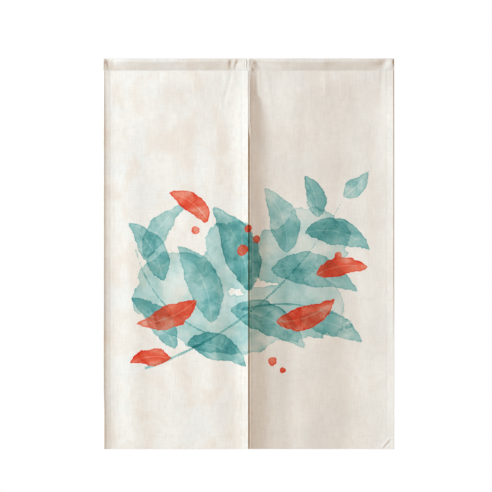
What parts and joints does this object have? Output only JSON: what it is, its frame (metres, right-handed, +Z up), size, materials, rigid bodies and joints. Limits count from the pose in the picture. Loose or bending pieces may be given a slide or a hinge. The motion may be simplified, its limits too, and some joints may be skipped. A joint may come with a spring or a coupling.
{
  "type": "split door curtain",
  "caption": "Split cloth door curtain: side-by-side panels hung from a sewn rod pocket, joined by a narrow strip at the head of the slit, printed with a watercolour leaf design.",
  "frame": {"origin": "middle of the curtain's top edge, on the rod line", "axes": "+Z up towards the rod, -Y the way the printed face looks, +X along the rod to the right as seen from the front"},
  "size_m": [0.8509, 0.0405, 1.142],
  "materials": {
    "cloth": "natural cotton and linen cloth, matt, plain weave with slubs, printed",
    "strip": "natural cotton and linen cloth, matt, plain weave"
  },
  "bodies": {
    "root": {"left_panel": "cloth", "right_panel": "cloth", "left_heading": "cloth", "right_heading": "cloth", "join_strip": "strip"}
  },
  "joints": []
}
